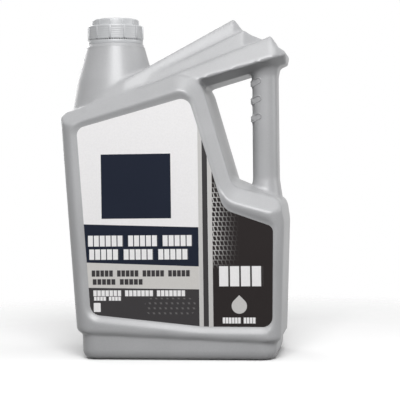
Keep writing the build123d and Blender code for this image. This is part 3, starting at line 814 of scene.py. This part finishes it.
class JUG_OT_cap(bpy.types.Operator):
    """Ribbed screw cap in two tiers, threaded inside"""

    bl_idname = "jug.cap"
    bl_label = "Screw cap"

    SKIRT_EDGE = 0.4 * MM
    SHOULDER_ROUND = 1.0 * MM
    CROWN_FOOT = 0.4 * MM
    CROWN_ROUND = 1.8 * MM
    CROWN_RIM = 3.2 * MM
    DISH_RIM = 3.7 * MM
    DISH_DEPTH = 0.35 * MM
    TOP_THICKNESS = 2.0 * MM
    FIRST_GROOVE = 2.4 * MM
    GROOVE_HALF = 0.5 * MM
    THREAD_START = 3.7 * MM
    RIB_SINK = 0.8 * MM
    RIB_END = 0.5 * MM
    RIB_BEVEL = 0.35 * MM
    CROWN_RIB_PROUD = 0.45 * MM
    CROWN_RIB_LAP = 0.6 * MM
    CROWN_RIB_DROP = 1.2 * MM
    CROWN_RIB_BEVEL = 0.3 * MM

    def execute(self, context):
        sizes = context.scene.jug_sizes
        bm = bmesh.new()
        step_z = CROWN_Z - sizes.crown_height
        lathe(bm, self.outer_profile(sizes, step_z), sizes.turn_steps)
        lathe(bm, self.inner_profile(sizes), sizes.turn_steps)
        close_turned(bm)
        thread(bm, sizes.cap_bore + THREAD_SINK, sizes.cap_bore - sizes.thread_depth,
               SKIRT_Z + self.THREAD_START, sizes)
        self.add_ribs(bm, sizes, step_z)
        colour = context.scene.jug_finish.cap
        plastic = moulded_plastic("cap_plastic", colour, roughness=0.36, grain_scale=CAP_GRAIN)
        piece = finish_piece("screw_cap", bm, plastic, "closure")
        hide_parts("cap")
        return {"FINISHED"}

    def outer_profile(self, sizes, step_z):
        radius = sizes.cap_radius
        crown = sizes.crown_radius
        edge = self.SKIRT_EDGE
        dish_z = CROWN_Z - self.DISH_DEPTH
        points = [(sizes.cap_bore, SKIRT_Z + edge), (sizes.cap_bore + edge, SKIRT_Z)]
        points += round_edge(radius - edge, SKIRT_Z + edge, edge, -90, 0, 2)
        for index in range(sizes.groove_count):
            z = SKIRT_Z + self.FIRST_GROOVE + index * sizes.groove_pitch
            points.append((radius, z - self.GROOVE_HALF))
            points.append((radius - sizes.groove_depth, z))
            points.append((radius, z + self.GROOVE_HALF))
        soft = self.SHOULDER_ROUND
        points += round_edge(radius - soft, step_z - soft, soft, 0, 90)
        points += [(crown + self.CROWN_FOOT, step_z), (crown, step_z + self.CROWN_FOOT)]
        soft = self.CROWN_ROUND
        points += round_edge(crown - soft, CROWN_Z - soft, soft, 0, 90, 6)
        points += [(crown - self.CROWN_RIM, CROWN_Z), (crown - self.DISH_RIM, dish_z), (0, dish_z)]
        return points

    def inner_profile(self, sizes):
        ceiling = CROWN_Z - self.TOP_THICKNESS
        return [
            (0, ceiling),
            (sizes.crown_bore, ceiling),
            (sizes.crown_bore, LINER_TOP_Z),
            (sizes.cap_bore, LINER_TOP_Z),
            (sizes.cap_bore, SKIRT_Z + self.SKIRT_EDGE),
        ]

    def add_ribs(self, bm, sizes, step_z):
        reach = (CAP_HIGH[0] - CAP_LOW[0]) / 2
        for index in range(sizes.cap_rib_count):
            angle = FULL_TURN * index / sizes.cap_rib_count
            turned_block(bm, sizes.cap_radius - self.RIB_SINK, reach, sizes.cap_rib_width,
                         SKIRT_Z + self.RIB_END, step_z - self.RIB_END, angle, bevel=self.RIB_BEVEL)
            turned_block(bm, sizes.crown_radius - self.RIB_SINK, sizes.crown_radius + self.CROWN_RIB_PROUD,
                         sizes.cap_rib_width, step_z - self.CROWN_RIB_LAP, CROWN_Z - self.CROWN_RIB_DROP,
                         angle, bevel=self.CROWN_RIB_BEVEL)


class JUG_OT_tamper_band(bpy.types.Operator):
    """Tamper band with its fine bridges to the skirt"""

    bl_idname = "jug.tamper_band"
    bl_label = "Tamper band"

    CLEARANCE = 0.9 * MM
    EDGE_ROUND = 0.45 * MM
    BRIDGE_HEIGHT = 0.9 * MM
    BRIDGE_DEPTH = 1.6 * MM
    BRIDGE_SET_BACK = 0.05 * MM
    BRIDGE_LAP = 0.2 * MM

    def execute(self, context):
        sizes = context.scene.jug_sizes
        inner = sizes.neck_radius + self.CLEARANCE
        outer = sizes.cap_radius
        top = BAND_HIGH[2] - self.BRIDGE_HEIGHT
        soft = self.EDGE_ROUND
        profile = [(inner, BEAD_TOP_Z), (inner, top)]
        profile += round_edge(outer - soft, top - soft, soft, 90, 0, 3)
        profile += round_edge(outer - soft, BEAD_TOP_Z + soft, soft, 0, -90, 3)
        bm = bmesh.new()
        lathe(bm, profile, sizes.turn_steps, closed=True)
        close_turned(bm)
        for index in range(sizes.bridge_count):
            angle = FULL_TURN * (index + 0.5) / sizes.bridge_count
            turned_block(bm, outer - self.BRIDGE_DEPTH, outer - self.BRIDGE_SET_BACK, sizes.bridge_width,
                         top - self.BRIDGE_LAP, BAND_HIGH[2], angle)
        colour = context.scene.jug_finish.cap
        plastic = moulded_plastic("band_plastic", colour, roughness=0.34, grain_scale=CAP_GRAIN)
        piece = finish_piece("tamper_ring", bm, plastic, "jug")
        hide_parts("tamper_band")
        return {"FINISHED"}


class JUG_OT_label(bpy.types.Operator):
    """Printed film in the front recess"""

    bl_idname = "jug.label"
    bl_label = "Front label"

    def execute(self, context):
        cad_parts["front_label"].material_slots[0].material = LabelPrint().make()
        return {"FINISHED"}


class JUG_OT_liner(bpy.types.Operator):
    """Foam liner under the cap"""

    bl_idname = "jug.liner"
    bl_label = "Cap liner"

    def execute(self, context):
        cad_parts["cap_liner"].material_slots[0].material = liner_foam()
        return {"FINISHED"}


class JUG_OT_stage(bpy.types.Operator):
    """Pale floor, soft lights and the camera"""

    bl_idname = "jug.stage"
    bl_label = "Studio"

    FLOOR_HALF = 1.2
    FLOOR_SHADE = (0.16, 0.16, 0.16, 1.0)
    FLOOR_SEEN = (0.97, 0.97, 0.97, 1.0)
    FLOOR_FADE = (0.3, 0.6)
    AMBIENT = 0.17
    LAMP_TARGET = (0.0, 0.0, 0.17)
    SENSOR_WIDTH = 36.0
    LAMPS = (
        ("key_softbox", (0.2, -1.25, 1.05), 0.8, 22.5),
        ("top_softbox", (0.1, -0.35, 1.5), 0.9, 6.0),
        ("side_softbox", (1.5, 0.2, 0.6), 0.8, 5.0),
        ("back_softbox", (-0.9, 1.3, 0.7), 1.0, 11.0),
    )

    def execute(self, context):
        scene = context.scene
        scene.view_settings.view_transform = "Standard"
        self.build_floor(scene)
        self.build_world(scene)
        self.build_lights(scene)
        self.build_camera(scene, scene.jug_stage)
        return {"FINISHED"}

    def seen_directly(self, tree):
        """Mask of the rays that show the background itself."""
        path = tree.node("ShaderNodeLightPath").outputs
        reflected = tree.math("MAXIMUM", path["Is Glossy Ray"], path["Is Transmission Ray"])
        return tree.math("MAXIMUM", path["Is Camera Ray"], reflected)

    def build_floor(self, scene):
        bm = bmesh.new()
        bmesh.ops.create_grid(bm, x_segments=1, y_segments=1, size=self.FLOOR_HALF)
        mesh = bpy.data.meshes.new("floor")
        bm.to_mesh(mesh)
        bm.free()
        floor = bpy.data.objects.new("floor", mesh)
        scene.collection.objects.link(floor)
        material, tree, shader = new_material("stage_floor")
        colour = tree.mix(self.seen_directly(tree), self.FLOOR_SHADE, self.FLOOR_SEEN)
        tree.link(colour, shader["Base Color"])
        shader["Roughness"].default_value = 0.9
        shader["Specular IOR Level"].default_value = 0.0
        place = tree.node("ShaderNodeTexCoord").outputs["Object"]
        length = tree.node("ShaderNodeVectorMath", operation="LENGTH")
        tree.link(place, length.inputs[0])
        near, far = self.FLOOR_FADE
        fade = tree.ramp(length.outputs["Value"], (near, 0.0), (far, 1.0))
        blend = tree.node("ShaderNodeMixShader")
        clear = tree.node("ShaderNodeBsdfTransparent")
        tree.link(fade, blend.inputs[0])
        tree.link(shader["Base Color"].node.outputs["BSDF"], blend.inputs[1])
        tree.link(clear.outputs[0], blend.inputs[2])
        output = next(node for node in tree.tree.nodes if node.type == "OUTPUT_MATERIAL")
        tree.link(blend.outputs[0], output.inputs["Surface"])
        mesh.materials.append(material)

    def build_world(self, scene):
        world = bpy.data.worlds.new("studio_world")
        world.use_nodes = True
        world.node_tree.nodes.clear()
        tree = ShaderTree(world.node_tree)
        backdrop = tree.node("ShaderNodeBackground")
        backdrop.inputs["Color"].default_value = (1, 1, 1, 1)
        strength = tree.ramp(self.seen_directly(tree), (0.0, self.AMBIENT), (1.0, 1.0))
        tree.link(strength, backdrop.inputs["Strength"])
        output = tree.node("ShaderNodeOutputWorld")
        tree.link(backdrop.outputs[0], output.inputs["Surface"])
        scene.world = world

    def build_lights(self, scene):
        target = Vector(self.LAMP_TARGET)
        for name, place, size, power in self.LAMPS:
            lamp = bpy.data.lights.new(name, "AREA")
            lamp.shape = "SQUARE"
            lamp.size = size
            lamp.energy = power
            holder = bpy.data.objects.new(name, lamp)
            holder.location = place
            holder.rotation_euler = (target - Vector(place)).to_track_quat("-Z", "Y").to_euler()
            scene.collection.objects.link(holder)

    def build_camera(self, scene, settings):
        lens = bpy.data.cameras.new("photo_camera")
        lens.lens = settings.camera_lens
        lens.sensor_width = self.SENSOR_WIDTH
        camera = bpy.data.objects.new("photo_camera", lens)
        look = Vector((-math.sin(settings.camera_azimuth), math.cos(settings.camera_azimuth), 0))
        place = -look * settings.camera_distance
        place.z = settings.camera_height
        camera.location = place
        aim = (Vector(settings.camera_target) - place).to_track_quat("-Z", "Y")
        camera.rotation_euler = (aim @ Quaternion((0, 0, 1), settings.camera_roll)).to_euler()
        scene.collection.objects.link(camera)
        scene.camera = camera


PIECE_OPERATORS = (
    JUG_OT_moulding, JUG_OT_cap, JUG_OT_tamper_band, JUG_OT_label, JUG_OT_liner, JUG_OT_stage)


class JUG_PT_sidebar(bpy.types.Panel):
    """Lists the jug's pieces and settings"""

    bl_idname = "JUG_PT_sidebar"
    bl_label = "Oil Jug"
    bl_space_type = "VIEW_3D"
    bl_region_type = "UI"
    bl_category = "Oil Jug"

    def draw(self, context):
        scene = context.scene
        for group in (scene.jug_sizes, scene.jug_finish, scene.jug_stage):
            box = self.layout.box()
            for key in group.__annotations__:
                box.prop(group, key)
        for operator in PIECE_OPERATORS:
            self.layout.operator(operator.bl_idname)


CLASSES = (JugSizes, JugFinish, StageSettings) + PIECE_OPERATORS + (JUG_PT_sidebar,)


def register():
    for cls in CLASSES:
        bpy.utils.register_class(cls)
    bpy.types.Scene.jug_sizes = PointerProperty(type=JugSizes)
    bpy.types.Scene.jug_finish = PointerProperty(type=JugFinish)
    bpy.types.Scene.jug_stage = PointerProperty(type=StageSettings)


def unregister():
    del bpy.types.Scene.jug_stage
    del bpy.types.Scene.jug_finish
    del bpy.types.Scene.jug_sizes
    for cls in reversed(CLASSES):
        bpy.utils.unregister_class(cls)


def main():
    register()
    moulded_grain_group()
    rounded_field_group()
    block_row_group()
    slanted_mesh_group()
    bpy.ops.jug.moulding()
    bpy.ops.jug.cap()
    bpy.ops.jug.tamper_band()
    bpy.ops.jug.label()
    bpy.ops.jug.liner()
    bpy.ops.jug.stage()


if __name__ == "__main__":
    main()
